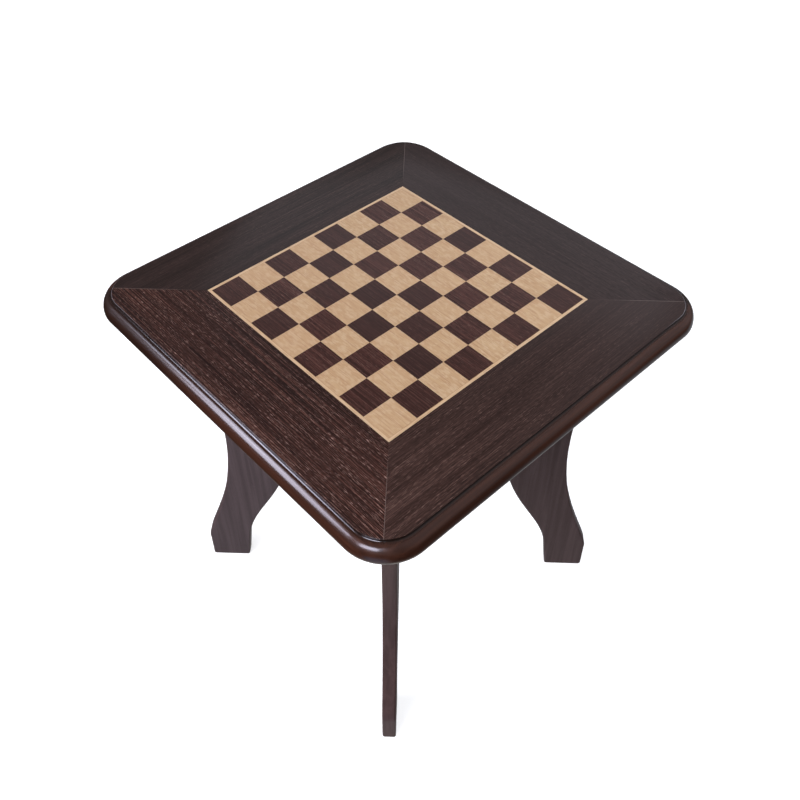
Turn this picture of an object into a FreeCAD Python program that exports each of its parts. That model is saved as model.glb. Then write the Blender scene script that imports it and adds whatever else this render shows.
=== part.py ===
import FreeCAD, Part
import math
import os

# Chess table: a veneered top with an inlaid board and a moulded edge, on four S-shaped legs.
# Millimetres, +Z up. The origin is on the floor under the table's centre, X and Y run along the top's sides.
# Front is -Y and left is -X. The legs, and the rails that tie them together, stand on the diagonals.

# Whole table
table_height = 715
top_thickness = 37

# Inlaid board
square_size = 50
squares_per_side = 8
stringing_width = 5

# Veneered flat of the top, inside the moulding's step
flat_width = 648
flat_corner_radius = 52
face_veneer_thickness = 1
backing_veneer_thickness = 1

# Edge moulding: it runs in under the veneer, steps down from the flat into a small cove and ends in a nosing
moulding_lap = 20
step_depth = 4.5
cove_radius = 3
nosing_projection = 16.5

# How much of the nosing's depth lies above its nose
upper_round_share = 0.65

# Loose tongues between the core panel and the mouldings
tongue_thickness = 4
tongue_width = 20
tongue_end_setback = 10
tongue_end_clearance = 1
tongue_side_clearance = 0.5

# Legs: reaches run out along the diagonal from the table's centre line to a leg's outer edge
leg_thickness = 24
leg_top_reach = 340
leg_waist_reach = 307
leg_ankle_reach = 379
leg_foot_reach = 380
leg_waist_width = 112
leg_ankle_width = 81.5
leg_foot_width = 74
leg_waist_height = 388
leg_ankle_height = 67
leg_foot_rounding = 5
leg_arris_radius = 3.5

# How far each curve of a leg's edges holds the direction of its ends, as shares of the curve's height
outer_waist_hold_share = 0.56
outer_ankle_hold_share = 0.11
inner_waist_hold_share = 0.56
inner_ankle_hold_share = 0.34
shoulder_waist_hold_share = 0.5
shoulder_top_hold_share = 0.25

# Cross rails, halved over each other at the centre
rail_depth = 90
rail_arris_radius = 1.8
halving_clearance = 0.2

# Dowels between a leg and its rail
dowel_diameter = 8
dowel_length = 50
dowel_spacing = 45
dowel_clearance = 0.1
dowel_end_clearance = 1

# Angle brackets that hold the top down on the rails, set back from the rails' ends
bracket_setback = 65
bracket_arm = 38
bracket_width = 20
bracket_thickness = 2
bracket_inner_radius = 2
bracket_hole_margin = 8
bracket_hole_spacing = 16
bracket_hole_clearance = 0.3

# Round-head wood screws
screw_diameter = 4
screw_length = 16
screw_point_length = 5
screw_head_diameter = 8
screw_head_height = 2.6
screw_slot_width = 1
screw_slot_depth = 1.2
pilot_clearance = 0.05
pilot_end_clearance = 1

# Length by which a cutting tool runs past the face that it cuts
overrun = 5

# Levels and half widths that follow from the sizes above
top_level = table_height
core_top_level = top_level - face_veneer_thickness
step_level = top_level - step_depth
underside_level = top_level - top_thickness
core_bottom_level = underside_level + backing_veneer_thickness
tongue_level = (core_top_level + core_bottom_level) / 2
rail_bottom_level = underside_level - rail_depth
rail_middle_level = underside_level - rail_depth / 2
flat_half = flat_width / 2
overall_half = flat_half + nosing_projection
corner_centre = flat_half - flat_corner_radius
core_half = flat_half - moulding_lap
core_corner_radius = flat_corner_radius - moulding_lap
board_half = square_size * squares_per_side / 2
stringing_half = board_half + stringing_width
root_reach = leg_waist_reach - leg_waist_width
leg_half = leg_thickness / 2
bracket_reach = root_reach - bracket_setback

SIDES = ("front", "right", "back", "left")
CORNERS = ("front_left", "front_right", "back_right", "back_left")
QUARTER_TURN = 90
HALF_QUARTER_TURN = QUARTER_TURN / 2
FRONT_LEFT_HEADING = -QUARTER_TURN - HALF_QUARTER_TURN

ORIGIN = FreeCAD.Vector(0, 0, 0)
Z_AXIS = FreeCAD.Vector(0, 0, 1)


def point(x, y, z):
    return FreeCAD.Vector(x, y, z)


def turned(shape, degrees):
    """A copy of the shape, turned about the table's upright centre line."""
    copy = shape.copy()
    copy.rotate(ORIGIN, Z_AXIS, degrees)
    return copy


def on_diagonals(shape):
    """Four copies of a shape drawn along +X, one out to each corner in the order of CORNERS."""
    return [turned(shape, FRONT_LEFT_HEADING + QUARTER_TURN * index) for index in range(len(CORNERS))]


def on_sides(front_shape):
    """Four copies of a shape drawn on the front side, in the order of SIDES."""
    return [turned(front_shape, QUARTER_TURN * index) for index in range(len(SIDES))]


def block(low, high):
    """A box between two opposite corners."""
    return Part.makeBox(high.x - low.x, high.y - low.y, high.z - low.z, low)


def square_plate(half, bottom, top):
    return block(point(-half, -half, bottom), point(half, half, top))


def rounded_plate(half, radius, bottom, top):
    """A square plate with upright rounded corners."""
    sharp = square_plate(half, bottom, top)
    upright = [edge for edge in sharp.Edges if edge.BoundBox.ZLength > edge.BoundBox.DiagonalLength / 2]
    return sharp.makeFillet(radius, upright)


def front_quarter(bottom, top):
    """The quarter of the table between its two front diagonals, out past every edge."""
    reach = overall_half + overrun
    centre = point(0, 0, bottom)
    outline = Part.makePolygon([centre, point(-reach, -reach, bottom), point(reach, -reach, bottom), centre])
    return Part.Face(outline).extrude(point(0, 0, top - bottom))


def line(start, end):
    return Part.LineSegment(start, end).toShape()


def curve(poles):
    bezier = Part.BezierCurve()
    bezier.setPoles(poles)
    return bezier.toShape()


def quarter_round(start, corner, end):
    """A quarter of an ellipse that leaves start and reaches end along the two sides of the corner."""
    bezier = Part.BezierCurve()
    bezier.setPoles([start, corner, end])
    bezier.setWeight(2, math.sqrt(0.5))
    return bezier.toShape()


def export(node, shape):
    shape.exportStep("parts/" + node + ".step")


def export_set(name, places, shapes):
    for place, shape in zip(places, shapes):
        export(name + "_" + place, shape)


# Screws: the point runs in along +X from the seat of the head

def screw():
    shank_radius = screw_diameter / 2
    head_radius = screw_head_diameter / 2
    dome_radius = (head_radius ** 2 + screw_head_height ** 2) / (2 * screw_head_height)
    half_angle = math.asin(head_radius / dome_radius) / 2
    crown = point(-screw_head_height, 0, 0)
    on_dome = point(
        crown.x + dome_radius * (1 - math.cos(half_angle)), dome_radius * math.sin(half_angle), 0)
    rim = point(0, head_radius, 0)
    neck = point(0, shank_radius, 0)
    shoulder = point(screw_length - screw_point_length, shank_radius, 0)
    tip = point(screw_length, 0, 0)
    dome = Part.Arc(crown, on_dome, rim).toShape()
    outline = Part.Wire([dome, line(rim, neck), line(neck, shoulder), line(shoulder, tip), line(tip, crown)])
    solid = Part.Face(outline).revolve(ORIGIN, point(1, 0, 0), 4 * QUARTER_TURN)
    half_slot = screw_slot_width / 2
    slot_floor = screw_slot_depth - screw_head_height
    slot = block(
        point(crown.x - overrun, -half_slot, -screw_head_diameter),
        point(slot_floor, half_slot, screw_head_diameter))
    return solid.cut(slot)


def pilot():
    """The hole that a screw fills, open at its mouth."""
    depth = screw_length + pilot_end_clearance
    return Part.makeCylinder(screw_diameter / 2 + pilot_clearance, depth, ORIGIN, point(1, 0, 0))


def bracket_hole():
    radius = screw_diameter / 2 + bracket_hole_clearance
    start = point(-overrun, 0, 0)
    return Part.makeCylinder(radius, bracket_thickness + overrun + overrun, start, point(1, 0, 0))


def placed(shape, seat, heading):
    """A copy of a shape drawn along +X from the origin, moved to a seat and pointed along a heading."""
    copy = shape.copy()
    copy.Placement = FreeCAD.Placement(seat, FreeCAD.Rotation(point(1, 0, 0), heading))
    return copy


# One bracket's screws: two through the arm on the rail's face, two through the arm under the top
outer_setback = bracket_arm - bracket_hole_margin
screw_setbacks = (outer_setback - bracket_hole_spacing, outer_setback)
bracket_face = leg_half + bracket_thickness
bracket_lower_level = underside_level - bracket_thickness
rail_screw_seats = [point(bracket_reach, bracket_face, underside_level - gap) for gap in screw_setbacks]
top_screw_seats = [point(bracket_reach, leg_half + gap, bracket_lower_level) for gap in screw_setbacks]
INTO_RAIL = point(0, -1, 0)
INTO_TOP = point(0, 0, 1)


def at_screws(shape):
    """Copies of a shape at one bracket's rail screws, then at its top screws."""
    at_rail = [placed(shape, seat, INTO_RAIL) for seat in rail_screw_seats]
    at_top = [placed(shape, seat, INTO_TOP) for seat in top_screw_seats]
    return at_rail, at_top


rail_pilots, top_pilots = at_screws(pilot())
all_top_pilots = [copy for hole in top_pilots for copy in on_diagonals(hole)]


# Core panel, with a groove in each edge for a tongue

def tongue_space(end_clearance, side_clearance):
    """The front tongue, or its groove when it is given clearance."""
    half_length = corner_centre - tongue_end_setback + end_clearance
    half_width = tongue_width / 2 + side_clearance
    half_thickness = tongue_thickness / 2
    low = point(-half_length, -core_half - half_width, tongue_level - half_thickness)
    high = point(half_length, -core_half + half_width, tongue_level + half_thickness)
    return block(low, high)


tongue_groove = tongue_space(tongue_end_clearance, tongue_side_clearance)


def core_panel():
    panel = rounded_plate(core_half, core_corner_radius, core_bottom_level, core_top_level)
    return panel.cut(on_sides(tongue_groove) + all_top_pilots)


# Edge moulding of the front side, mitred at both ends on the diagonals

def moulding_section():
    """The section square to the front side, at the middle of the table."""
    inner = -core_half
    step = -flat_half
    nose = -overall_half
    nose_level = step_level - (step_level - underside_level) * upper_round_share
    corners = [
        point(0, step, underside_level),
        point(0, step, core_bottom_level),
        point(0, inner, core_bottom_level),
        point(0, inner, core_top_level),
        point(0, step, core_top_level),
        point(0, step, step_level + cove_radius),
    ]
    cove_end = point(0, step - cove_radius, step_level)
    nose_tip = point(0, nose, nose_level)
    cove = quarter_round(corners[-1], point(0, step, step_level), cove_end)
    upper_round = quarter_round(cove_end, point(0, nose, step_level), nose_tip)
    lower_round = quarter_round(nose_tip, point(0, nose, underside_level), corners[0])
    sides = Part.makePolygon(corners).Edges
    return Part.Face(Part.Wire(sides + [cove, upper_round, lower_round]))


def front_moulding():
    section = moulding_section()
    left_end = section.copy()
    left_end.translate(point(-corner_centre, 0, 0))
    right_end = section.copy()
    right_end.translate(point(corner_centre, 0, 0))
    straight = left_end.extrude(point(corner_centre + corner_centre, 0, 0))
    left_turn = left_end.revolve(point(-corner_centre, -corner_centre, 0), Z_AXIS, -HALF_QUARTER_TURN)
    right_turn = right_end.revolve(point(corner_centre, -corner_centre, 0), Z_AXIS, HALF_QUARTER_TURN)
    return straight.fuse([left_turn, right_turn]).cut(tongue_groove)


# Veneers of the top: four mitred borders, four mitred strips of stringing and the squares

def front_border_veneer():
    sheet = rounded_plate(flat_half, flat_corner_radius, core_top_level, top_level)
    opening = square_plate(stringing_half, core_top_level - overrun, top_level + overrun)
    return sheet.cut(opening).common(front_quarter(core_top_level, top_level))


def front_stringing():
    sheet = square_plate(stringing_half, core_top_level, top_level)
    opening = square_plate(board_half, core_top_level - overrun, top_level + overrun)
    return sheet.cut(opening).common(front_quarter(core_top_level, top_level))


def board_squares(parity):
    """The squares of one colour. The square in the front left corner has parity 0."""
    squares = []
    for column in range(squares_per_side):
        for row in range(squares_per_side):
            if (column + row) % 2 == parity:
                left = square_size * column - board_half
                front = square_size * row - board_half
                low = point(left, front, core_top_level)
                high = point(left + square_size, front + square_size, top_level)
                squares.append(block(low, high))
    return Part.makeCompound(squares)


def backing_veneer():
    sheet = rounded_plate(flat_half, flat_corner_radius, underside_level, core_bottom_level)
    return sheet.cut(all_top_pilots)


# Dowels of one leg, across the joint between the leg's upright inner edge and the end of its rail

dowel_levels = (rail_middle_level - dowel_spacing / 2, rail_middle_level + dowel_spacing / 2)


def dowels(clearance, end_clearance):
    """One leg's dowels, or their holes when they are given clearance."""
    radius = dowel_diameter / 2 + clearance
    start = root_reach - dowel_length / 2 - end_clearance
    length = dowel_length + end_clearance + end_clearance
    outward = point(1, 0, 0)
    return [Part.makeCylinder(radius, length, point(start, 0, level), outward) for level in dowel_levels]


dowel_holes = dowels(dowel_clearance, dowel_end_clearance)


# Legs, drawn along +X

def calf(waist, ankle, foot, waist_hold_share, ankle_hold_share):
    """A leg's edge from its upright waist down to the ankle, which it reaches in line with the foot."""
    height = waist.z - ankle.z
    waist_pole = waist - Z_AXIS * (height * waist_hold_share)
    ankle_pole = ankle + (ankle - foot) * (height * ankle_hold_share / (ankle.z - foot.z))
    return curve([waist, waist_pole, ankle_pole, ankle])


def leg():
    outer_top = point(leg_top_reach, -leg_half, underside_level)
    outer_waist = point(leg_waist_reach, -leg_half, leg_waist_height)
    outer_ankle = point(leg_ankle_reach, -leg_half, leg_ankle_height)
    toe = point(leg_foot_reach, -leg_half, 0)
    inner_top = point(root_reach, -leg_half, underside_level)
    inner_waist = point(root_reach, -leg_half, leg_waist_height)
    inner_ankle = point(leg_ankle_reach - leg_ankle_width, -leg_half, leg_ankle_height)
    heel = point(leg_foot_reach - leg_foot_width, -leg_half, 0)
    shoulder_height = underside_level - leg_waist_height
    shoulder = curve([
        outer_top,
        outer_top - Z_AXIS * (shoulder_height * shoulder_top_hold_share),
        outer_waist + Z_AXIS * (shoulder_height * shoulder_waist_hold_share),
        outer_waist,
    ])
    outline = Part.Wire([
        shoulder,
        calf(outer_waist, outer_ankle, toe, outer_waist_hold_share, outer_ankle_hold_share),
        line(outer_ankle, toe),
        line(toe, heel),
        line(heel, inner_ankle),
        calf(inner_waist, inner_ankle, heel, inner_waist_hold_share, inner_ankle_hold_share),
        line(inner_waist, inner_top),
        line(inner_top, outer_top),
    ])
    board = Part.Face(outline).extrude(point(0, leg_thickness, 0))
    foot_edges = [edge for edge in board.Edges if is_foot_edge(edge)]
    board = board.makeFillet(leg_foot_rounding, foot_edges)
    board = board.makeFillet(leg_arris_radius, [edge for edge in board.Edges if is_leg_arris(edge)])
    return board.cut(dowel_holes)


def is_foot_edge(edge):
    """An edge across the leg's thickness, on the floor."""
    box = edge.BoundBox
    return box.ZMax < leg_foot_rounding and box.YLength > leg_half


def is_leg_arris(edge):
    """An edge along one of the leg's two broad faces, other than at its top."""
    box = edge.BoundBox
    along_face = box.YLength < leg_half and abs(box.Center.y) > leg_half / 2
    return along_face and box.ZMin < underside_level - leg_foot_rounding


# Cross rails, drawn along X

def plain_rail():
    low = point(-root_reach, -leg_half, rail_bottom_level)
    high = point(root_reach, leg_half, underside_level)
    stick = block(low, high)
    lower_arrises = [edge for edge in stick.Edges if is_lower_arris(edge)]
    stick = stick.makeFillet(rail_arris_radius, lower_arrises)
    holes = dowel_holes + rail_pilots
    far_holes = [turned(hole, 2 * QUARTER_TURN) for hole in holes]
    return stick.cut(holes + far_holes)


def is_lower_arris(edge):
    box = edge.BoundBox
    return box.ZMax < rail_middle_level and box.XLength > root_reach


def halving(bottom, top):
    half = leg_half + halving_clearance
    return block(point(-half, -leg_thickness, bottom), point(half, leg_thickness, top))


def upper_rail():
    """The rail that keeps its upper half at the crossing. It ties the front left and back right legs."""
    notch = halving(rail_bottom_level - overrun, rail_middle_level)
    return turned(plain_rail().cut(notch), FRONT_LEFT_HEADING)


def lower_rail():
    """The rail that keeps its lower half at the crossing. It ties the front right and back left legs."""
    notch = halving(rail_middle_level, underside_level + overrun)
    return turned(plain_rail().cut(notch), FRONT_LEFT_HEADING + QUARTER_TURN)


# Angle bracket, drawn on a rail that runs along X

def bracket():
    start = bracket_reach - bracket_width / 2
    outer_bend = point(start, leg_half, underside_level)
    inner_bend = point(start, bracket_face, bracket_lower_level)
    outline = Part.makePolygon([
        outer_bend,
        point(start, leg_half + bracket_arm, underside_level),
        point(start, leg_half + bracket_arm, bracket_lower_level),
        inner_bend,
        point(start, bracket_face, underside_level - bracket_arm),
        point(start, leg_half, underside_level - bracket_arm),
        outer_bend,
    ])
    strip = Part.Face(outline).extrude(point(bracket_width, 0, 0))
    inner_edges = [edge for edge in strip.Edges if runs_from(edge, inner_bend)]
    strip = strip.makeFillet(bracket_inner_radius, inner_edges)
    outer_edges = [edge for edge in strip.Edges if runs_from(edge, outer_bend)]
    strip = strip.makeFillet(bracket_inner_radius + bracket_thickness, outer_edges)
    at_rail, at_top = at_screws(bracket_hole())
    return strip.cut(at_rail + at_top)


def runs_from(edge, bend):
    """An edge across the strip's width that starts at the given bend."""
    box = edge.BoundBox
    at_bend = abs(box.Center.y - bend.y) + abs(box.Center.z - bend.z) < bracket_thickness / 2
    return at_bend and box.XLength > bracket_width / 2


os.makedirs("parts", exist_ok=True)

export("core_panel", core_panel())
export("backing_veneer", backing_veneer())
export_set("edge_moulding", SIDES, on_sides(front_moulding()))
export_set("tongue", SIDES, on_sides(tongue_space(0, 0)))
export_set("border_veneer", SIDES, on_sides(front_border_veneer()))
export_set("stringing", SIDES, on_sides(front_stringing()))
export("light_squares", board_squares(0))
export("dark_squares", board_squares(1))

export("cross_rail_upper", upper_rail())
export("cross_rail_lower", lower_rail())
export_set("leg", CORNERS, on_diagonals(leg()))
leg_dowels = [copy for dowel in dowels(0, 0) for copy in on_diagonals(dowel)]
export("leg_dowels", Part.makeCompound(leg_dowels))

export_set("angle_bracket", CORNERS, on_diagonals(bracket()))
rail_screws, top_screws = at_screws(screw())
export("bracket_rail_screws", Part.makeCompound([copy for one in rail_screws for copy in on_diagonals(one)]))
export("bracket_top_screws", Part.makeCompound([copy for one in top_screws for copy in on_diagonals(one)]))
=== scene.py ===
import bpy
import math
from mathutils import Matrix, Vector


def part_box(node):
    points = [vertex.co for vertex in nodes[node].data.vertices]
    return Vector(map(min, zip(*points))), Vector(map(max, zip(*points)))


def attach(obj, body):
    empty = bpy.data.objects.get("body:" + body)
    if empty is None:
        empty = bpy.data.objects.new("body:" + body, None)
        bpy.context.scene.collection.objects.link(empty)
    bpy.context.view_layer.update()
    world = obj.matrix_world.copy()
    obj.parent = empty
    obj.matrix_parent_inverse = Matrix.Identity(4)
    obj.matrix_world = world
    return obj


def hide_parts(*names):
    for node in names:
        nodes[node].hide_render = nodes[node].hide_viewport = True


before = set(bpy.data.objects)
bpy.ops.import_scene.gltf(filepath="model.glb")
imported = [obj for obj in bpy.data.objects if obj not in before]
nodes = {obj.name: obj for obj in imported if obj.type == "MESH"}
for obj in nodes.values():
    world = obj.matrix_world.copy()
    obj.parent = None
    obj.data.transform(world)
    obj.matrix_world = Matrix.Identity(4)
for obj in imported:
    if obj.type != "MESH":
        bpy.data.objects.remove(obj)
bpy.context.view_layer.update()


# Legs: four flat boards of dark-stained hardwood, bandsawn to an S and eased along every arris.
# Each one stands on a diagonal of the top, doweled to the end of a cross rail, with its grain upright.
# A satin lacquer over the stain leaves the grain only faintly seen.

def node(tree, kind, inputs=None, **settings):
    """One shader node. Inputs go by name or number, and each is a value or the output of another node."""
    made = tree.nodes.new("ShaderNode" + kind)
    for name, value in settings.items():
        setattr(made, name, value)
    for key, value in (inputs or {}).items():
        if isinstance(value, bpy.types.NodeSocket):
            tree.links.new(value, made.inputs[key])
        else:
            made.inputs[key].default_value = value
    return made


def new_finish(name):
    """A bare material with its node tree and its surface shader."""
    material = bpy.data.materials.new(name)
    material.use_nodes = True
    return material, material.node_tree, material.node_tree.nodes["Principled BSDF"]


def place_on(tree):
    """The place on a piece, in metres from the table's middle at the floor."""
    return node(tree, "TexCoord").outputs["Object"]


def measured(tree, place, direction):
    """How far a place lies in a direction."""
    return node(tree, "VectorMath", {0: place, 1: direction}, operation="DOT_PRODUCT").outputs["Value"]


def moved(tree, place, shift):
    return node(tree, "VectorMath", {0: place, 1: shift}, operation="ADD").outputs["Vector"]


def stretched(tree, place, factors):
    return node(tree, "VectorMath", {0: place, 1: factors}, operation="MULTIPLY").outputs["Vector"]


def grain_space(tree, along, across, shift=(0, 0, 0)):
    """Places on a piece as metres along its grain, across it and through it, moved by a shift of its own."""
    place = place_on(tree)
    through = Vector(along).cross(Vector(across))
    parts = {axis: measured(tree, place, way) for axis, way in zip("XYZ", (along, across, through))}
    return moved(tree, node(tree, "CombineXYZ", parts).outputs["Vector"], shift)


def streaks(tree, space, length, width, detail=2.0, wander=0.0):
    """Soft streaks of about the given length and width in metres, from 0 to 1."""
    fine_space = stretched(tree, space, (1 / length, 1 / width, 1 / width))
    noise = node(tree, "TexNoise", {"Vector": fine_space, "Scale": 1.0, "Detail": detail, "Distortion": wander})
    return noise.outputs["Fac"]


def between(tree, value, low, high):
    """0 where the value is below low, 1 where it is above high, and a smooth step between."""
    limits = {"Value": value, "From Min": low, "From Max": high}
    return node(tree, "MapRange", limits, interpolation_type="SMOOTHSTEP").outputs["Result"]


def ranged(tree, share, low, high):
    """A share from 0 to 1 as a value from low to high."""
    return node(tree, "MapRange", {"Value": share, "To Min": low, "To Max": high}).outputs["Result"]


def rgba(colour):
    if isinstance(colour, bpy.types.NodeSocket):
        return colour
    return (*colour, 1.0)


def tinted(tree, share, first, second):
    """The first colour where the share is 0, the second where it is 1."""
    mixed = node(tree, "Mix", {0: share, 6: rgba(first), 7: rgba(second)}, data_type="RGBA")
    return mixed.outputs[2]


def overlaid(tree, colour, value, band, most, stain):
    """A colour with a stain over it. The stain's share grows to the most as the value crosses the band."""
    share = ranged(tree, between(tree, value, *band), 0.0, most)
    return tinted(tree, share, colour, stain)


def relief(tree, shader, height, depth):
    """Grain that can be felt: the height is from 0 to 1 and the depth in metres."""
    bump = node(tree, "Bump", {"Height": height, "Distance": depth, "Strength": 1.0})
    tree.links.new(bump.outputs["Normal"], shader.inputs["Normal"])


def lay(material, *node_names):
    """Gives CAD nodes their finish."""
    for name in node_names:
        for material_slot in nodes[name].material_slots:
            material_slot.material = material


# Here and below, a kind of streak is its length and width in metres, then its detail and wander.
# A band is the two values between which a mark fades in.
stain_figure, stain_figure_band = (0.30, 0.011, 3.0, 0.6), (0.3, 0.7)
stain_lines, stain_line_band, stain_line_share = (0.09, 0.0016, 2.0), (0.45, 0.75), 0.45
stain_pores, stain_pore_band, stain_pore_share = (0.016, 0.0006, 1.0), (0.6, 0.75), 0.4
stain_pore_colour = (0.016, 0.009, 0.008)
stain_roughness_spread = 0.06
stain_shine = 0.3
stain_relief = 0.00004


def stained_wood(name, along, across, shift, dark, pale, roughness):
    """Stained, lacquered hardwood with quiet grain."""
    material, tree, shader = new_finish(name)
    space = grain_space(tree, along, across, shift)
    figure = streaks(tree, space, *stain_figure)
    lines = streaks(tree, space, *stain_lines)
    pores = streaks(tree, space, *stain_pores)
    colour = tinted(tree, between(tree, figure, *stain_figure_band), dark, pale)
    colour = overlaid(tree, colour, lines, stain_line_band, stain_line_share, dark)
    colour = overlaid(tree, colour, pores, stain_pore_band, stain_pore_share, stain_pore_colour)
    tree.links.new(colour, shader.inputs["Base Color"])
    dullness = ranged(tree, lines, roughness - stain_roughness_spread, roughness + stain_roughness_spread)
    tree.links.new(dullness, shader.inputs["Roughness"])
    shader.inputs["Specular IOR Level"].default_value = stain_shine
    relief(tree, shader, lines, stain_relief)
    return material


UP = (0, 0, 1)
CORNER_HEADINGS = {"front_left": -135, "front_right": -45, "back_right": 45, "back_left": 135}


def diagonal(corner):
    heading = math.radians(CORNER_HEADINGS[corner])
    return (math.cos(heading), math.sin(heading), 0)


def toned(colour, tone):
    return tuple(part * gain for part, gain in zip(colour, tone))


leg_dark = (0.080, 0.052, 0.052)
leg_pale = (0.118, 0.079, 0.080)
leg_roughness = 0.42
leg_shift_along, leg_shift_across = 0.37, 0.21
# Each board's tone: partly its own take of the stain, and partly painted light, for the back-left board is
# painted lighter and cooler as if sheened by the light on the left
stain_and_light_tones = {
    "front_left": (0.93, 0.83, 0.78),
    "front_right": (1.0, 1.0, 0.97),
    "back_right": (1.0, 1.0, 1.0),
    "back_left": (1.08, 1.15, 1.17),
}
for number, corner in enumerate(CORNER_HEADINGS):
    leg_shift = (leg_shift_along * number, leg_shift_across * number, 0.0)
    # The tone holds painted light as well as the stain
    tone = stain_and_light_tones[corner]
    leg_finish = stained_wood(
        "leg_stain_" + corner, UP, diagonal(corner), leg_shift, toned(leg_dark, tone), toned(leg_pale, tone),
        leg_roughness)
    lay(leg_finish, "leg_" + corner)


# Cross rails: two sticks of the legs' wood on edge under the top, halved over each other at the centre.
# Each ties two opposite legs together, with its grain along its length.

rail_dark = (0.042, 0.027, 0.024)
rail_pale = (0.072, 0.048, 0.043)
rail_shift = (1.7, 0.4, 0.0)
rail_ends = {"cross_rail_upper": "back_right", "cross_rail_lower": "back_left"}
for name, end in rail_ends.items():
    rail_finish = stained_wood(
        name + "_stain", diagonal(end), UP, rail_shift, rail_dark, rail_pale, leg_roughness)
    lay(rail_finish, name)


# Dowels: plain turned pegs of bare beech, two across each joint between a leg and its rail.
# They are glued half into the leg and half into the rail's end, so none of them shows.

SIDEWAYS, FRONT_TO_BACK = (1, 0, 0), (0, 1, 0)


def bare_wood(name, marks, band, ground, mark_colour, roughness, depth=0.0):
    """Wood or board left bare: a ground colour with the marks of its grain or fibres."""
    material, tree, shader = new_finish(name)
    grain = streaks(tree, grain_space(tree, SIDEWAYS, FRONT_TO_BACK), *marks)
    colour = tinted(tree, between(tree, grain, *band), ground, mark_colour)
    tree.links.new(colour, shader.inputs["Base Color"])
    shader.inputs["Roughness"].default_value = roughness
    if depth:
        relief(tree, shader, grain, depth)
    return material


beech_flecks, beech_fleck_band = (0.004, 0.0008), (0.4, 0.7)
beech_ground = (0.60, 0.42, 0.26)
beech_fleck_colour = (0.44, 0.27, 0.15)
beech_roughness = 0.6
dowel_finish = bare_wood(
    "dowel_beech", beech_flecks, beech_fleck_band, beech_ground, beech_fleck_colour, beech_roughness)
lay(dowel_finish, "leg_dowels")


# Core panel: a bare sheet of fibreboard, sawn to a square with rounded corners, that carries the veneers.
# It is grooved round its edge for the tongues and drilled below for the brackets' screws.

board_fibres, board_fibre_band = (0.0022, 0.0011, 3.0, 1.0), (0.35, 0.7)
board_ground = (0.46, 0.34, 0.22)
board_fibre_colour = (0.31, 0.21, 0.13)
board_roughness = 0.8
board_relief = 0.00008
core_finish = bare_wood(
    "bare_fibreboard", board_fibres, board_fibre_band, board_ground, board_fibre_colour, board_roughness,
    board_relief)
lay(core_finish, "core_panel")


# Tongues: strips of thin plywood, left bare, that line up the mouldings with the core panel.
# Each is glued half into the panel's groove and half into the moulding's.

SIDES = ("front", "right", "back", "left")
plies, ply_band = (0.5, 0.0013, 1.0), (0.4, 0.6)
ply_pale = (0.60, 0.46, 0.29)
ply_dark = (0.42, 0.28, 0.16)
ply_roughness = 0.75
tongue_finish = bare_wood("bare_plywood", plies, ply_band, ply_pale, ply_dark, ply_roughness)
lay(tongue_finish, *["tongue_" + side for side in SIDES])


# Edge mouldings: four lengths of solid wood round the panel, stained red-brown and lacquered to a gloss.
# Each is spindle-moulded with a step, a small cove and a nosing, bent round half of a corner at either end
# and mitred on the diagonals. The veneer of the top laps over its inner part.

veneer_low, veneer_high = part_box("border_veneer_front")
moulding_low, moulding_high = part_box("edge_moulding_front")
flat_half = -veneer_low[1]
top_level = veneer_high[2]
veneer_underside = veneer_low[2]
underside_level = moulding_low[2]
overall_half = -moulding_low[1]
flat_corner_radius = 0.052
corner_centre = flat_half - flat_corner_radius
step_depth = 0.0045
step_level = top_level - step_depth
cove_radius = 0.0030
upper_round_share = 0.65
lap_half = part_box("core_panel")[1][0]
backing_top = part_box("backing_veneer")[1][2]
tongue_low, tongue_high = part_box("tongue_front")
groove_clearance = 0.0005
groove_half = -tongue_low[1] + groove_clearance
mitre_ease = 0.00012
round_steps = 14
cove_steps = 5
corner_steps = 14
straight_steps = 24
crisp_angle = math.radians(35)
front_heading = -90
corner_half_turn = 45
quarter_turn = 90


def quarter_round(start, corner, end, steps):
    """Points of a quarter ellipse after its start: it leaves the start and meets the end along the corner."""
    points = []
    for step in range(1, steps + 1):
        angle = math.pi / 2 * step / steps
        leaving = Vector(corner) - Vector(start)
        arriving = Vector(end) - Vector(corner)
        points.append(tuple(Vector(start) + leaving * math.sin(angle) + arriving * (1 - math.cos(angle))))
    return points


def moulding_section():
    """The section as distances from the table's middle and levels: what shows, then what is hidden."""
    nose_level = step_level - (step_level - underside_level) * upper_round_share
    cove_top = (flat_half, step_level + cove_radius)
    cove_end = (flat_half + cove_radius, step_level)
    nose = (overall_half, nose_level)
    foot = (flat_half, underside_level)
    shown = [(flat_half, veneer_underside), cove_top]
    shown += quarter_round(cove_top, (flat_half, step_level), cove_end, cove_steps)
    shown += quarter_round(cove_end, (overall_half, step_level), nose, round_steps)
    shown += quarter_round(nose, (overall_half, underside_level), foot, round_steps)
    hidden = [
        (flat_half, backing_top),
        (lap_half, backing_top),
        (lap_half, tongue_low[2]),
        (groove_half, tongue_low[2]),
        (groove_half, tongue_high[2]),
        (lap_half, tongue_high[2]),
        (lap_half, veneer_underside),
    ]
    return shown, hidden


def front_stations():
    """Places along the front edge from mitre to mitre: a turn's centre and its outward direction."""
    stations = []
    for step in range(corner_steps + 1):
        turn = corner_half_turn * step / corner_steps
        stations.append((-corner_centre, math.radians(front_heading - corner_half_turn + turn)))
    for step in range(1, straight_steps):
        stations.append((corner_centre * (2 * step / straight_steps - 1), math.radians(front_heading)))
    for step in range(corner_steps + 1):
        turn = corner_half_turn * step / corner_steps
        stations.append((corner_centre, math.radians(front_heading + turn)))
    return stations


def round_edge(station, distance, level):
    """The point at a station that lies the given distance from the table's middle, square to the edge."""
    centre_x, angle = station
    reach = distance - corner_centre
    return Vector((centre_x + reach * math.cos(angle), -corner_centre + reach * math.sin(angle), level))


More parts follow.
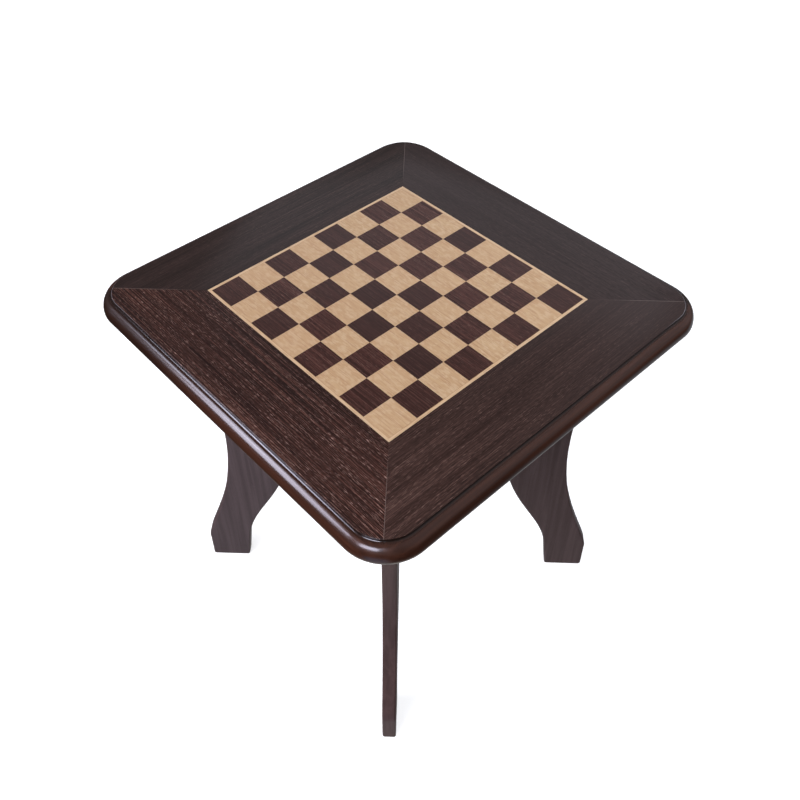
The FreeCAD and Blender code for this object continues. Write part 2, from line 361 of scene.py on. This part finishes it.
def turned_to(side, point):
    """A point of the front side, turned about the table's middle to another side."""
    return Matrix.Rotation(math.radians(quarter_turn * SIDES.index(side)), 3, "Z") @ point


def ring_walls(ring_count, size):
    """Faces that join each ring of points to the next."""
    walls = []
    for ring in range(ring_count - 1):
        for corner in range(size):
            here = ring * size + corner
            beside = ring * size + (corner + 1) % size
            walls.append((here, beside, beside + size, here + size))
    return walls


def moulding_mesh(side):
    shown, hidden = moulding_section()
    size = len(shown) + len(hidden)
    stations = front_stations()
    points = []
    for index, station in enumerate(stations):
        at_mitre = index in (0, len(stations) - 1)
        for distance, level in shown:
            eased = distance - mitre_ease if at_mitre and distance > flat_half else distance
            points.append(turned_to(side, round_edge(station, eased, level)))
        for distance, level in hidden:
            points.append(turned_to(side, round_edge(station, distance, level)))
    walls = ring_walls(len(stations), size)
    faces = [(here, above, above_beside, beside) for here, beside, above_beside, above in walls]
    last_ring = (len(stations) - 1) * size
    faces.append(tuple(range(size)))
    faces.append(tuple(last_ring + corner for corner in reversed(range(size))))
    return points, faces


def put_piece(name, points, faces, material, replaced):
    """A smooth-shaded piece with crisp arrises that stands for a CAD node."""
    mesh = bpy.data.meshes.new(name)
    mesh.from_pydata(points, [], faces)
    mesh.update()
    for face in mesh.polygons:
        face.use_smooth = True
    mesh.set_sharp_from_angle(angle=crisp_angle)
    mesh.materials.append(material)
    piece = bpy.data.objects.new(name, mesh)
    bpy.context.scene.collection.objects.link(piece)
    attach(piece, "root")
    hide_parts(replaced)


SIDE_ALONG = {"front": (1, 0, 0), "right": (0, 1, 0), "back": (-1, 0, 0), "left": (0, -1, 0)}
SIDE_ACROSS = {"front": (0, 1, 0), "right": (-1, 0, 0), "back": (0, -1, 0), "left": (1, 0, 0)}


def product(tree, first, second):
    return node(tree, "Math", {0: first, 1: second}, operation="MULTIPLY").outputs["Value"]


moulding_figure, moulding_figure_band = (0.22, 0.006, 3.0, 0.5), (0.3, 0.7)
moulding_dark = (0.036, 0.0115, 0.0060)
moulding_pale = (0.060, 0.020, 0.0105)
moulding_lines, moulding_line_band, moulding_line_share = (0.05, 0.0012, 2.0), (0.5, 0.75), 0.5
moulding_line_colour = (0.024, 0.009, 0.006)
# Painted shade: each moulding is darkened towards its first end, as if the light fell off there
shade_end_band = (0.0, -overall_half / 2)
painted_shade_end_colour = (0.012, 0.004, 0.002)
painted_shade_end_shares = {"front": 0.0, "right": 0.8, "back": 0.6, "left": 0.75}
# Painted shade in the cove: its colour is darkened nearly to black, and its roughness is lowered
cove_band, cove_shade_share = (step_level - cove_radius / 6, step_level + cove_radius / 3), 0.9
painted_cove_shade_colour = (0.006, 0.003, 0.002)
cove_roughness_share = 0.4
moulding_roughness = (0.26, 0.36)
moulding_coat_roughness = 0.18
moulding_relief = 0.00002
moulding_shift = 0.9


def moulding_stain(side):
    """Red-brown stain under a gloss lacquer, darker in the lines of the grain, with painted shade towards the
    first end.
    The cove and the wall above it are painted nearly black as painted shade, and the cove is smoother."""
    material, tree, shader = new_finish("moulding_stain_" + side)
    shift = (moulding_shift * SIDES.index(side), 0.0, 0.0)
    space = grain_space(tree, SIDE_ALONG[side], SIDE_ACROSS[side], shift)
    figure = streaks(tree, space, *moulding_figure)
    lines = streaks(tree, space, *moulding_lines)
    colour = tinted(tree, between(tree, figure, *moulding_figure_band), moulding_dark, moulding_pale)
    colour = overlaid(tree, colour, lines, moulding_line_band, moulding_line_share, moulding_line_colour)
    place = place_on(tree)
    run = measured(tree, place, SIDE_ALONG[side])
    # Painted shade towards the first end
    colour = overlaid(tree, colour, run, shade_end_band, painted_shade_end_shares[side], painted_shade_end_colour)
    # Painted shade in the cove and on the step's wall
    in_cove = between(tree, measured(tree, place, UP), *cove_band)
    colour = tinted(tree, ranged(tree, in_cove, 0.0, cove_shade_share), colour, painted_cove_shade_colour)
    tree.links.new(colour, shader.inputs["Base Color"])
    dullness = ranged(tree, figure, *moulding_roughness)
    dullness = product(tree, dullness, ranged(tree, in_cove, 1.0, cove_roughness_share))
    tree.links.new(dullness, shader.inputs["Roughness"])
    shader.inputs["Coat Weight"].default_value = 1.0
    shader.inputs["Coat Roughness"].default_value = moulding_coat_roughness
    relief(tree, shader, lines, moulding_relief)
    return material


for side in SIDES:
    moulding_points, moulding_faces = moulding_mesh(side)
    put_piece(
        "moulding_" + side, moulding_points, moulding_faces, moulding_stain(side),
        "edge_moulding_" + side)


# Backing veneer: one thin dark sheet of stained wood, glued to the underside of the core panel.
# It pulls as hard as the veneers above and so keeps the top from cupping.

backing_dark = (0.050, 0.032, 0.026)
backing_pale = (0.098, 0.066, 0.052)
backing_roughness = 0.55
backing_shift = (0.6, 2.2, 0.0)
backing_finish = stained_wood(
    "backing_veneer_stain", SIDEWAYS, FRONT_TO_BACK, backing_shift, backing_dark, backing_pale,
    backing_roughness)
lay(backing_finish, "backing_veneer")


# Border veneers: four leaves of wenge laid round the board, each with its grain along its own side,
# mitred on the diagonals and eased along the outer edge. The wood is almost black-brown, with short pale
# flecks that are partly painted glints, and open pores, and a pale hairline of glue shows where the mitres open
# towards the corners.

stringing_half = -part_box("stringing_front")[0][1]
veneer_arris = 0.0010
arris_steps = 4


def veneer_outline(side, inset, level):
    """The leaf's outline at a level, drawn in from its outer edge by an inset."""
    outer = [round_edge(station, flat_half - inset, level) for station in front_stations()]
    inner = [Vector((end, -stringing_half, level)) for end in (stringing_half, -stringing_half)]
    return [turned_to(side, point) for point in outer + inner]


def veneer_mesh(side):
    outlines = [veneer_outline(side, 0, veneer_underside)]
    for step in range(arris_steps + 1):
        angle = math.pi / 2 * step / arris_steps
        inset = veneer_arris * (1 - math.cos(angle))
        outlines.append(veneer_outline(side, inset, top_level - veneer_arris * (1 - math.sin(angle))))
    size = len(outlines[0])
    points = [point for outline in outlines for point in outline]
    faces = [tuple(reversed(range(size)))]
    faces += ring_walls(len(outlines), size)
    faces.append(tuple((len(outlines) - 1) * size + corner for corner in range(size)))
    return points, faces


wenge_bands, wenge_brown_band = (0.40, 0.016, 3.0, 0.7), (0.3, 0.7)
wenge_lines, wenge_line_band = (0.34, 0.0011, 1.0, 0.05), (0.46, 0.64)
wenge_threads, wenge_thread_band, wenge_thread_share = (0.070, 0.0005, 0.0), (0.45, 0.65), 0.55
wenge_pores, wenge_pore_band, wenge_pore_share = (0.0090, 0.0007, 0.0), (0.50, 0.64), 0.5
wenge_pore_colour = (0.008, 0.004, 0.003)
wenge_dashes, wenge_dash_band = (0.0085, 0.0005, 0.0), (0.59, 0.70)
wenge_fleck_glint_colour = (0.32, 0.190, 0.155)
dash_line_band, dash_share_off_lines = (0.42, 0.60), 0.15
dash_patches, dash_patch_band, dash_share_off_patches = (0.060, 0.005, 1.0), (0.40, 0.62), 0.25


def wenge_colour(tree, space, dark, brown, pale, line_share, dash_share):
    """Wenge's colour, and its grain lines for the relief. Long fine lines are broken into threads, pores and
    short pale dashes, which keep to the lines and gather in patches. The dashes are partly the wood's pale
    flecks and partly painted glints."""
    bands = streaks(tree, space, *wenge_bands)
    lines = streaks(tree, space, *wenge_lines)
    threads = streaks(tree, space, *wenge_threads)
    pores = streaks(tree, space, *wenge_pores)
    dashes = streaks(tree, space, *wenge_dashes)
    patches = streaks(tree, space, *dash_patches)
    colour = tinted(tree, between(tree, bands, *wenge_brown_band), dark, brown)
    colour = overlaid(tree, colour, lines, wenge_line_band, line_share, pale)
    colour = overlaid(tree, colour, threads, wenge_thread_band, wenge_thread_share, dark)
    colour = overlaid(tree, colour, pores, wenge_pore_band, wenge_pore_share, wenge_pore_colour)
    on_lines = ranged(tree, between(tree, lines, *dash_line_band), dash_share_off_lines, 1.0)
    in_patches = ranged(tree, between(tree, patches, *dash_patch_band), dash_share_off_patches, 1.0)
    glints = product(tree, product(tree, between(tree, dashes, *wenge_dash_band), on_lines), in_patches)
    # Pale dashes: partly the wood's own flecks, partly painted glints
    colour = tinted(tree, product(tree, glints, dash_share), colour, wenge_fleck_glint_colour)
    return colour, lines


veneer_shine = 0.1
lacquer_weight = 0.75
lacquer_roughness = 0.2


def lacquered_veneer(tree, shader, colour, lines, roughness, depth):
    """A veneer's surface, dull and uneven with its grain, which hardly shines under a thin satin lacquer."""
    tree.links.new(colour, shader.inputs["Base Color"])
    tree.links.new(ranged(tree, lines, *roughness), shader.inputs["Roughness"])
    shader.inputs["Specular IOR Level"].default_value = veneer_shine
    shader.inputs["Coat Weight"].default_value = lacquer_weight
    shader.inputs["Coat Roughness"].default_value = lacquer_roughness
    relief(tree, shader, lines, depth)


def from_middle(tree):
    """The place's distances from the table's middle, sideways and from front to back."""
    folded = node(tree, "VectorMath", {0: place_on(tree)}, operation="ABSOLUTE").outputs["Vector"]
    parts = node(tree, "SeparateXYZ", {"Vector": folded}).outputs
    return parts["X"], parts["Y"]


hairline_fade, hairline_share = (0.0008, 0.0002), 0.5
hairline_colour = (0.24, 0.18, 0.16)


def mitre_hairline(tree):
    """1 on the diagonals near the top's corners, 0 elsewhere."""
    sideways, endways = from_middle(tree)
    apart = node(tree, "Math", {0: sideways, 1: endways}, operation="SUBTRACT").outputs["Value"]
    apart = node(tree, "Math", {0: apart}, operation="ABSOLUTE").outputs["Value"]
    towards_corner = between(tree, sideways, stringing_half, corner_centre)
    return product(tree, between(tree, apart, *hairline_fade), towards_corner)


plain_and_sheen_band = (-flat_half / 2, flat_half)
plain_and_sheen_colour = (0.033, 0.021, 0.019)
# Painted highlight: a pale lilac line on the arris where its slope turns down
arris_highlight_slope = (0.99, 0.95)
painted_highlight_colour = (0.32, 0.30, 0.32)
# Painted shade: the steep lower part of the veneer's edge is painted nearly black
edge_slope, painted_edge_shade_share = (0.75, 0.50), 0.9
painted_edge_shade_colour = (0.006, 0.003, 0.002)
leaf_roughness = (0.40, 0.52)
leaf_relief = 0.00006
leaf_shift = 1.3
# Each leaf's dark, brown and pale wood, then the shares of its lines and dashes. The leaves differ partly in
# their own wood and partly by painted light: the left leaf is painted redder and more flecked, and the right
# one greyer, for the sheen their grain catches
leaf_looks = {
    "front": ((0.026, 0.012, 0.009), (0.047, 0.024, 0.019), (0.100, 0.052, 0.041), 0.55, 0.40),
    "right": ((0.023, 0.013, 0.011), (0.035, 0.021, 0.019), (0.056, 0.034, 0.030), 0.45, 0.10),
    "back": ((0.014, 0.008, 0.006), (0.034, 0.019, 0.016), (0.070, 0.040, 0.033), 0.55, 0.15),
    "left": ((0.010, 0.0036, 0.0026), (0.024, 0.0088, 0.0066), (0.140, 0.058, 0.041), 0.75, 1.00),
}
# How far each leaf's grain fades into plain grey-brown at its last end: partly plainer wood, and partly painted
# sheen, most on the front leaf
plain_and_sheen_shares = {"front": 0.75, "right": 0.3, "back": 0.3, "left": 0.0}
# How much painted light brightens each leaf's wood at its first and last ends, most towards the near corner
painted_light_end_gains = {"front": (1.35, 1.05), "right": (1.05, 1.05), "back": (1.0, 1.0), "left": (1.0, 1.45)}
# Two places along each leaf's arris, and how strong the painted highlight on it is before the one and after the
# other
arris_highlight_spans = {
    "front": (0.22, 0.31, 0.0, 0.7),
    "right": (-0.30, 0.30, 0.7, 0.5),
    "back": (-0.30, 0.30, 0.5, 0.5),
    "left": (-0.30, -0.15, 0.5, 0.0),
}


def wenge_leaf(side):
    """A leaf's finish, with the hairlines of its mitres, a painted highlight along its arris and painted shade
    on the edge below it.
    """
    material, tree, shader = new_finish("wenge_leaf_" + side)
    shift = (leaf_shift * SIDES.index(side), 0.0, 0.0)
    space = grain_space(tree, SIDE_ALONG[side], SIDE_ACROSS[side], shift)
    colour, lines = wenge_colour(tree, space, *leaf_looks[side])
    run = measured(tree, place_on(tree), SIDE_ALONG[side])
    # Plain grey-brown at the last end, partly painted sheen
    colour = overlaid(tree, colour, run, plain_and_sheen_band, plain_and_sheen_shares[side], plain_and_sheen_colour)
    # Painted light: each leaf's colour is scaled lighter towards its ends
    first_light_gain, last_light_gain = painted_light_end_gains[side]
    lit_at_first = ranged(tree, between(tree, run, 0.0, -flat_half), 1.0, first_light_gain)
    lit_at_last = ranged(tree, between(tree, run, 0.0, flat_half), 1.0, last_light_gain)
    gain = product(tree, lit_at_first, lit_at_last)
    colour = node(tree, "VectorMath", {0: colour, "Scale": gain}, operation="SCALE").outputs["Vector"]
    hairline = ranged(tree, mitre_hairline(tree), 0.0, hairline_share)
    colour = tinted(tree, hairline, colour, hairline_colour)
    slope = measured(tree, node(tree, "NewGeometry").outputs["Normal"], UP)
    # Painted highlight along the arris, stronger towards some ends of each leaf
    highlight_start, highlight_end, first_highlight, last_highlight = arris_highlight_spans[side]
    highlight_share = ranged(tree, between(tree, run, highlight_start, highlight_end), first_highlight, last_highlight)
    painted_highlight = product(tree, between(tree, slope, *arris_highlight_slope), highlight_share)
    colour = tinted(tree, painted_highlight, colour, painted_highlight_colour)
    # Painted shade on the steep edge below the arris
    colour = overlaid(tree, colour, slope, edge_slope, painted_edge_shade_share, painted_edge_shade_colour)
    lacquered_veneer(tree, shader, colour, lines, leaf_roughness, leaf_relief)
    return material


for side in SIDES:
    leaf_points, leaf_faces = veneer_mesh(side)
    put_piece(
        "border_" + side, leaf_points, leaf_faces, wenge_leaf(side),
        "border_veneer_" + side)


# Stringing: four narrow strips of maple with long grain, let in round the board and mitred at its corners.
# Old glue has darkened the seam between the strips and the board.

maple_figure, maple_figure_band = (0.10, 0.009, 3.0, 0.8), (0.3, 0.7)
maple_mottle, maple_mottle_band, maple_mottle_share = (0.010, 0.005, 2.5, 0.5), (0.42, 0.66), 0.6
maple_mottle_colour = (0.665, 0.480, 0.305)
maple_lines, maple_line_band, maple_line_share = (0.030, 0.0011, 1.5, 0.4), (0.52, 0.68), 0.6
maple_line_colour = (0.39, 0.210, 0.105)
maple_roughness = (0.40, 0.50)
maple_relief = 0.00003


def maple_colour(tree, space, pale, tan):
    """Pale, even maple with clouds of lighter wood and faint tan streaks, and its grain lines."""
    figure = streaks(tree, space, *maple_figure)
    mottle = streaks(tree, space, *maple_mottle)
    lines = streaks(tree, space, *maple_lines)
    colour = tinted(tree, between(tree, figure, *maple_figure_band), pale, tan)
    colour = overlaid(tree, colour, mottle, maple_mottle_band, maple_mottle_share, maple_mottle_colour)
    colour = overlaid(tree, colour, lines, maple_line_band, maple_line_share, maple_line_colour)
    return colour, lines


board_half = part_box("light_squares")[1][0]
glue_near, glue_far = 0.0003, 0.0009
glue_share = 0.75
glue_colour = (0.36, 0.185, 0.075)
strip_pale = (0.690, 0.485, 0.290)
strip_tan = (0.640, 0.430, 0.245)
strip_shift = 2.1


def glue_line(tree):
    """1 along the strip's inner edge, 0 elsewhere."""
    sideways, endways = from_middle(tree)
    reach = node(tree, "Math", {0: sideways, 1: endways}, operation="MAXIMUM").outputs["Value"]
    return between(tree, reach, board_half + glue_far, board_half + glue_near)


def maple_strip(side):
    material, tree, shader = new_finish("maple_strip_" + side)
    shift = (strip_shift * SIDES.index(side), 0.0, 0.0)
    space = grain_space(tree, SIDE_ALONG[side], SIDE_ACROSS[side], shift)
    colour, lines = maple_colour(tree, space, strip_pale, strip_tan)
    colour = tinted(tree, ranged(tree, glue_line(tree), 0.0, glue_share), colour, glue_colour)
    lacquered_veneer(tree, shader, colour, lines, maple_roughness, maple_relief)
    return material


for side in SIDES:
    lay(maple_strip(side), "stringing_" + side)


# Light squares: thirty-two squares of maple veneer, cut from strips, so that all their grain runs one way.
# They are glued to the core panel edge to edge with the dark ones, and each has a tone of its own.

squares_per_side = 8
square_size = 2 * board_half / squares_per_side
BOARD_GRAIN = (0, 1, 0)
BOARD_ACROSS = (-1, 0, 0)
square_spread = (7.0, 7.0, 7.0)


def square_space(tree):
    """The board's grain space, with each square cut from another place, and a share of its own."""
    from_corner = moved(tree, place_on(tree), (board_half, board_half, 0))
    counted = stretched(tree, from_corner, (1 / square_size, 1 / square_size, 0))
    cell = node(tree, "VectorMath", {0: counted}, operation="FLOOR").outputs["Vector"]
    chance = node(tree, "TexWhiteNoise", {"Vector": cell}, noise_dimensions="3D").outputs
    jump = stretched(tree, chance["Color"], square_spread)
    return moved(tree, grain_space(tree, BOARD_GRAIN, BOARD_ACROSS), jump), chance["Value"]


light_pale = (0.580, 0.385, 0.213)
light_tan = (0.525, 0.330, 0.175)
light_tone, light_tone_share = (0.57, 0.355, 0.200), 0.3
light_finish, tree, shader = new_finish("maple_squares")
light_space, light_chance = square_space(tree)
light_colour, light_lines = maple_colour(tree, light_space, light_pale, light_tan)
light_colour = tinted(tree, ranged(tree, light_chance, 0.0, light_tone_share), light_colour, light_tone)
lacquered_veneer(tree, shader, light_colour, light_lines, maple_roughness, maple_relief)
lay(light_finish, "light_squares")


# Dark squares: thirty-two squares of wenge veneer between the light ones, with their grain the same way.
# They are redder than the border and less flecked, and some of them are darker than others.

dark_square_looks = ((0.036, 0.012, 0.0085), (0.079, 0.028, 0.021), (0.160, 0.064, 0.048), 0.65, 0.40)
dark_tone, dark_tone_share = (0.036, 0.017, 0.014), 0.7
dark_square_roughness = (0.38, 0.50)
dark_square_relief = 0.00005
dark_finish, tree, shader = new_finish("wenge_squares")
dark_space, dark_chance = square_space(tree)
dark_colour, dark_lines = wenge_colour(tree, dark_space, *dark_square_looks)
dark_colour = tinted(tree, ranged(tree, dark_chance, 0.0, dark_tone_share), dark_colour, dark_tone)
lacquered_veneer(tree, shader, dark_colour, dark_lines, dark_square_roughness, dark_square_relief)
lay(dark_finish, "dark_squares")


# Angle brackets: strips of zinc-plated steel, drilled and bent square, one near each end of the rails.
# One arm is screwed to the rail's face and the other to the underside of the top.

zinc_clouds, zinc_cloud_band = (0.006, 0.005, 3.0), (0.35, 0.7)
zinc_rubbing = (0.02, 0.0004, 1.0)
zinc_smoother, zinc_duller = 0.08, 0.1


def zinc_plate(name, bright, dull, roughness):
    """Plated steel with a faint cloudiness and fine rubbing marks."""
    material, tree, shader = new_finish(name)
    space = grain_space(tree, SIDEWAYS, FRONT_TO_BACK)
    clouds = streaks(tree, space, *zinc_clouds)
    rubbing = streaks(tree, space, *zinc_rubbing)
    colour = tinted(tree, between(tree, clouds, *zinc_cloud_band), bright, dull)
    tree.links.new(colour, shader.inputs["Base Color"])
    dullness = ranged(tree, rubbing, roughness - zinc_smoother, roughness + zinc_duller)
    tree.links.new(dullness, shader.inputs["Roughness"])
    shader.inputs["Metallic"].default_value = 1.0
    return material


bracket_bright = (0.62, 0.61, 0.58)
bracket_dull = (0.48, 0.48, 0.47)
bracket_roughness = 0.36
bracket_finish = zinc_plate("bracket_zinc", bracket_bright, bracket_dull, bracket_roughness)
lay(bracket_finish, *["angle_bracket_" + corner for corner in CORNER_HEADINGS])


# Screws: slotted round-head wood screws of steel, plated like the brackets but yellower.
# Each bracket has two of them in the rail and two in the top.

screw_bright = (0.66, 0.63, 0.55)
screw_dull = (0.52, 0.50, 0.45)
screw_roughness = 0.32
screw_finish = zinc_plate("screw_zinc", screw_bright, screw_dull, screw_roughness)
lay(screw_finish, "bracket_rail_screws", "bracket_top_screws")


# Floor: a plain near-white studio floor that sweeps up into a backdrop on all sides, and glows a little, so
# that shadows stay faint. The table itself is lit as on a duller floor: the surround below the horizon
# stands for that one.

floor_radius = 14.0
sweep_radius = 5.0
backdrop_height = 12.0
sweep_steps = 12
floor_sides = 96
floor_profile = [(floor_radius, 0.0)]
for step in range(1, sweep_steps + 1):
    angle = math.pi / 2 * step / sweep_steps
    floor_profile.append((floor_radius + sweep_radius * math.sin(angle), sweep_radius * (1 - math.cos(angle))))
floor_profile.append((floor_radius + sweep_radius, backdrop_height))
floor_points = []
for reach, level in floor_profile:
    for side_number in range(floor_sides):
        angle = 2 * math.pi * side_number / floor_sides
        floor_points.append((reach * math.cos(angle), reach * math.sin(angle), level))
floor_faces = [tuple(range(floor_sides))] + ring_walls(len(floor_profile), floor_sides)
floor_mesh = bpy.data.meshes.new("floor")
floor_mesh.from_pydata(floor_points, [], floor_faces)
for face in floor_mesh.polygons:
    face.use_smooth = face.index > 0
floor = bpy.data.objects.new("floor", floor_mesh)
bpy.context.scene.collection.objects.link(floor)

floor_clouds = (1.5, 1.5)
floor_dim = (0.88, 0.88, 0.88)
floor_bright = (0.91, 0.91, 0.91)
floor_glow_reach, floor_glow = (1.5, 5.0), (0.6, 0.86)
floor_roughness = 0.9
floor_shine = 0.1
floor_finish, tree, shader = new_finish("floor_white")
floor_space = grain_space(tree, SIDEWAYS, FRONT_TO_BACK)
floor_colour = tinted(tree, streaks(tree, floor_space, *floor_clouds), floor_dim, floor_bright)
tree.links.new(floor_colour, shader.inputs["Base Color"])
floor_reach = node(tree, "VectorMath", {0: floor_space}, operation="LENGTH").outputs["Value"]
floor_strength = ranged(tree, between(tree, floor_reach, *floor_glow_reach), *floor_glow)
tree.links.new(floor_strength, shader.inputs["Emission Strength"])
shader.inputs["Emission Color"].default_value = (1.0, 1.0, 1.0, 1.0)
shader.inputs["Roughness"].default_value = floor_roughness
shader.inputs["Specular IOR Level"].default_value = floor_shine
floor_mesh.materials.append(floor_finish)
floor.visible_glossy = False
floor.visible_diffuse = False


# Lights: a broad softbox on the left that lights the top, and three strips beside it that only draw the
# highlight along the left moulding and round the near corner. A dim softbox behind hazes the top, and fills
# from the front, the back and the right leave no highlight of their own.

def softbox(name, heading, elevation, distance, width, height, radiance, colour, shines=True, lights=True):
    """A rectangular lamp of the given radiance that faces the top, at a heading and elevation in degrees.
    One that doesn't shine leaves no highlight, and one that doesn't light leaves nothing else."""
    lamp = bpy.data.lights.new(name, "AREA")
    lamp.shape = "RECTANGLE"
    lamp.size = width
    lamp.size_y = height
    lamp.energy = radiance * math.pi * width * height
    lamp.color = colour
    light = bpy.data.objects.new(name, lamp)
    bpy.context.scene.collection.objects.link(light)
    level = distance * math.cos(math.radians(elevation))
    away = Vector((
        level * math.cos(math.radians(heading)),
        level * math.sin(math.radians(heading)),
        distance * math.sin(math.radians(elevation))))
    light.location = Vector((0, 0, top_level)) + away
    light.rotation_euler = (-away).to_track_quat("-Z", "Y").to_euler()
    light.visible_glossy = shines
    light.visible_diffuse = lights
    light.visible_camera = False


cool_white = (0.92, 0.91, 1.0)
strip_white = (0.90, 0.90, 1.10)
front_white = (1.0, 0.97, 0.95)
back_white = (1.0, 0.98, 0.96)
right_white = (0.88, 0.98, 1.10)
softbox(
    "softbox_left", heading=171, elevation=33, distance=4.0, width=5.0, height=1.5, radiance=9.4,
    colour=cool_white, shines=False)
softbox(
    "strip_left", heading=152, elevation=26, distance=2.0, width=0.64, height=1.21, radiance=7.0,
    colour=strip_white, lights=False)
softbox(
    "strip_left_near", heading=141, elevation=38, distance=1.2, width=0.46, height=0.51, radiance=5.8,
    colour=strip_white, lights=False)
softbox(
    "strip_corner", heading=200, elevation=30, distance=3.0, width=1.5, height=1.3, radiance=8.6,
    colour=strip_white, lights=False)
softbox(
    "softbox_behind", heading=40, elevation=33, distance=4.0, width=3.4, height=1.4, radiance=0.49,
    colour=cool_white)
softbox(
    "fill_front", heading=-125, elevation=14, distance=4.0, width=3.0, height=2.0, radiance=1.75,
    colour=front_white, shines=False)
softbox(
    "fill_back", heading=48, elevation=8, distance=4.0, width=4.0, height=2.0, radiance=1.4,
    colour=back_white, shines=False)
softbox(
    "fill_right", heading=-30, elevation=32, distance=1.5, width=1.0, height=0.8, radiance=4.7,
    colour=right_white, shines=False)


# Surround: a dim grey room, lighter to the front right, above a dull floor with a few lighter places.
# The lacquer mirrors it faintly, and the pale floor straight below lights the undersides.

studio = bpy.data.worlds.new("studio")
studio.use_nodes = True
room = studio.node_tree
outward = node(room, "TexCoord").outputs["Generated"]
height = measured(room, outward, UP)


def glowing(colour, direction, band, glow):
    """A colour of the surround with a glow in one direction."""
    return tinted(room, between(room, measured(room, outward, direction), *band), colour, glow)


room_grey = (0.080, 0.076, 0.078)
front_right, front_right_band, front_right_glow = (0.6, -0.5, 0.62), (0.45, 0.95), (0.24, 0.235, 0.25)
dull_floor = (0.030, 0.020, 0.017)
low_right, low_right_band, low_right_glow = (0.75, -0.15, -0.64), (0.85, 0.98), (0.25, 0.27, 0.29)
low_left, low_left_band, low_left_glow = (-0.63, -0.36, -0.69), (0.93, 0.99), (0.20, 0.30, 0.44)
low_far, low_far_band, low_far_glow = (0.47, 0.47, -0.75), (0.90, 0.97), (0.60, 0.58, 0.59)
horizon_band = (0.0, -0.25)
straight_below_band = (-0.80, -0.90)
straight_below = (0.55, 0.54, 0.53)
above = glowing(room_grey, front_right, front_right_band, front_right_glow)
below = glowing(dull_floor, low_right, low_right_band, low_right_glow)
below = glowing(below, low_left, low_left_band, low_left_glow)
below = glowing(below, low_far, low_far_band, low_far_glow)
surround = tinted(room, between(room, height, *horizon_band), above, below)
surround = tinted(room, between(room, height, *straight_below_band), surround, straight_below)
room.links.new(surround, room.nodes["Background"].inputs["Color"])
room.nodes["Background"].inputs["Strength"].default_value = 1.0
bpy.context.scene.world = studio
bpy.context.scene.view_settings.view_transform = "Standard"


# Camera: it looks down on the front left corner from head height, as the photograph does.
# Its place and turn were solved from the corners of the board's squares.

image_size = 800
focal_pixels = 885.2163
frame_shift_pixels = -50
sensor_width = 36
camera_distance = 1.2628617
camera_elevation = 0.77754155
camera_off_diagonal = 0.03012783
camera_heading = math.radians(45) + camera_off_diagonal
camera_roll = 0.00394008
aim_right = 0.00881817
aim_away = -0.1197326
upright = Vector(UP)
to_right = Vector((1, -1, 0)) / math.sqrt(2)
to_away = Vector((1, 1, 0)) / math.sqrt(2)
aim = to_right * aim_right + to_away * aim_away + Vector((0, 0, top_level))
level_look = Vector((math.cos(camera_heading), math.sin(camera_heading), 0))
look = level_look * math.cos(camera_elevation) - upright * math.sin(camera_elevation)
level_right = look.cross(upright).normalized()
level_up = level_right.cross(look)
camera_right = level_right * math.cos(camera_roll) + level_up * math.sin(camera_roll)
camera_up = level_up * math.cos(camera_roll) - level_right * math.sin(camera_roll)
camera_data = bpy.data.cameras.new("camera")
camera_data.sensor_width = sensor_width
camera_data.lens = focal_pixels * sensor_width / image_size
camera_data.shift_y = frame_shift_pixels / image_size
camera = bpy.data.objects.new("camera", camera_data)
bpy.context.scene.collection.objects.link(camera)
camera_turn = Matrix((camera_right, camera_up, -look)).transposed()
camera.matrix_world = Matrix.Translation(aim - look * camera_distance) @ camera_turn.to_4x4()
bpy.context.scene.camera = camera
